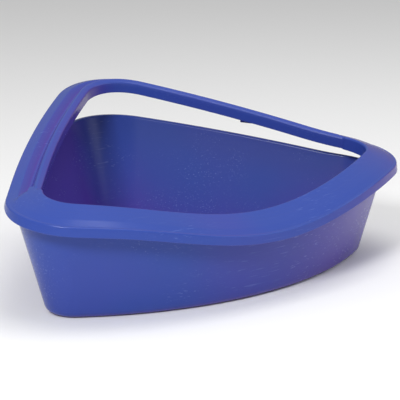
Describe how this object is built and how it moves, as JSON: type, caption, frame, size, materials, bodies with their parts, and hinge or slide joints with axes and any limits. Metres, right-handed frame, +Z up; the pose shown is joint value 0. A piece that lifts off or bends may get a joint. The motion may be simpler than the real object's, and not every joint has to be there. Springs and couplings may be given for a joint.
{
  "type": "corner cat litter tray with rim",
  "caption": "Corner cat litter tray, low at the bowed front and high at the back corner, with a clip-on anti-scatter rim that tilts up at the back.",
  "frame": {"origin": "centre of the bounding box's base, on the surface that the tray stands on", "axes": "+X across the bowed front, +Y to the high back corner, +Z up"},
  "size_m": [0.5978, 0.4294, 0.2322],
  "materials": {
    "tray_plastic": "glossy blue polypropylene, fine scuffs inside",
    "rim_plastic": "glossy blue polypropylene"
  },
  "bodies": {
    "tray": {"litter_tray": "tray_plastic"},
    "rim": {"rim_frame": "rim_plastic", "front_catch": "rim_plastic", "side_catch_left": "rim_plastic", "side_catch_right": "rim_plastic"}
  },
  "joints": [
    {"name": "rim_tilt", "type": "hinge", "parent": "tray", "child": "rim", "pos_m": [0, -0.21472, 0.0843], "axis": [1, 0, 0], "range_deg": [-6.9, 70]}
  ]
}
